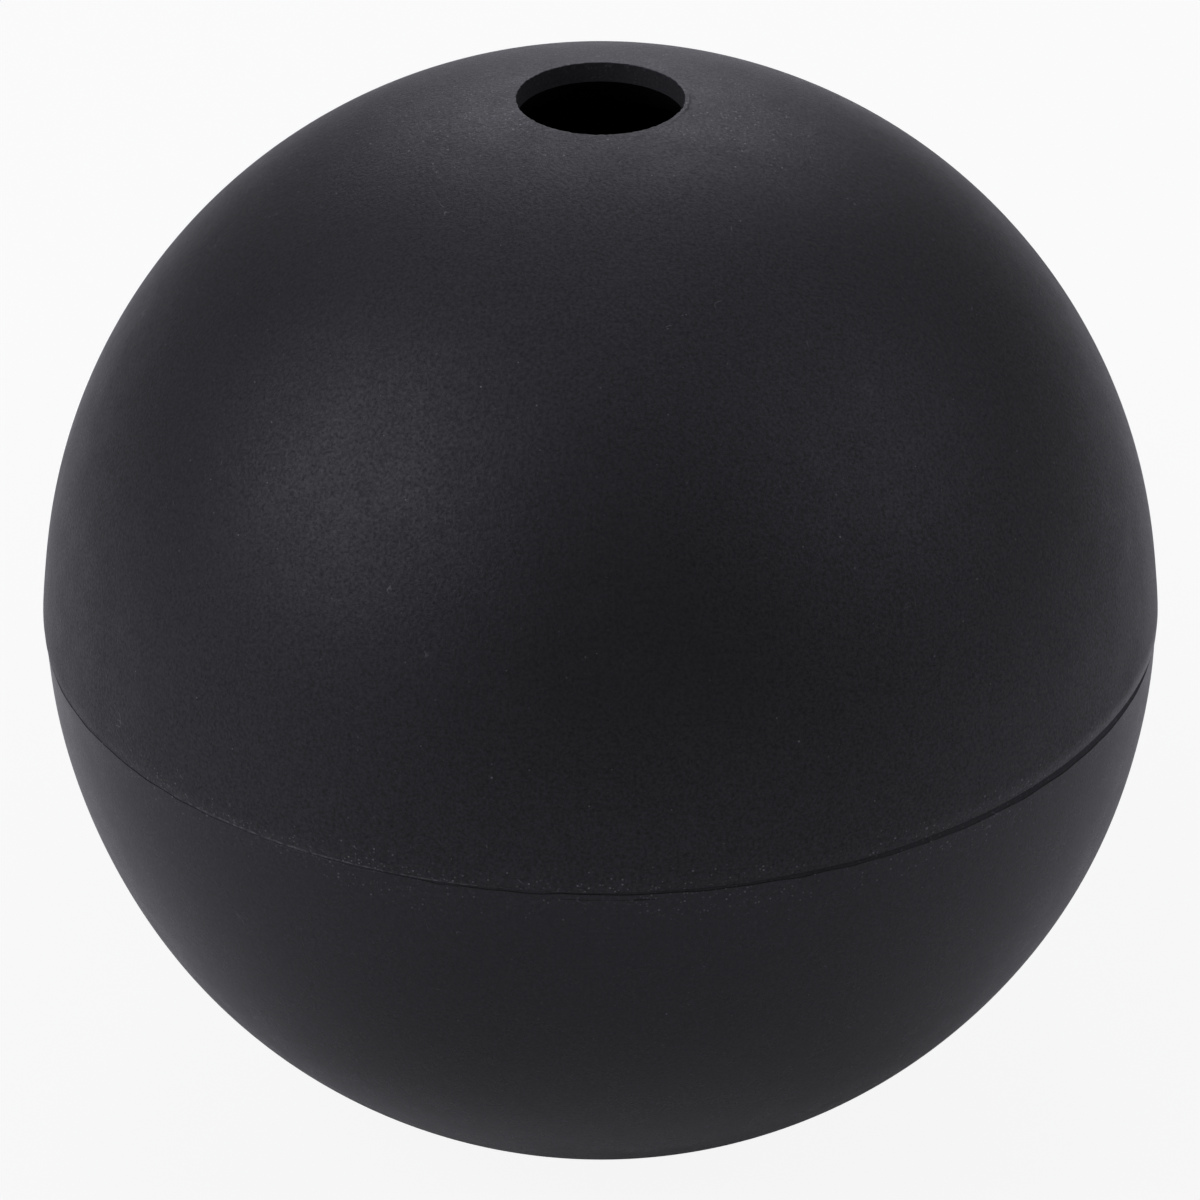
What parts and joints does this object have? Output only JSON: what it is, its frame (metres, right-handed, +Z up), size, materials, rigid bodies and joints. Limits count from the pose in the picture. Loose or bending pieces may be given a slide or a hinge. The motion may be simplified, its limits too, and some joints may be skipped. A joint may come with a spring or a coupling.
{
  "type": "ice ball mold",
  "caption": "Round silicone mold that parts at its middle: a dome with a fill hole seats by groove and tongue on a bowl with a flat foot, and freezes water into a ball.",
  "frame": {"origin": "centre of the flat foot, on the surface that the mold stands on", "axes": "+Z up along the axis that both halves are turned about, through the fill hole"},
  "size_m": [0.07, 0.07, 0.0687],
  "materials": {
    "silicone": "fine matte moulded silicone, near black"
  },
  "bodies": {
    "bottom": {"bottom_half": "silicone"},
    "top": {"top_half": "silicone"}
  },
  "joints": [
    {"name": "top_lift", "type": "slide", "parent": "bottom", "child": "top", "axis": [0, 0, 1], "range_m": [0, 0.06]}
  ]
}
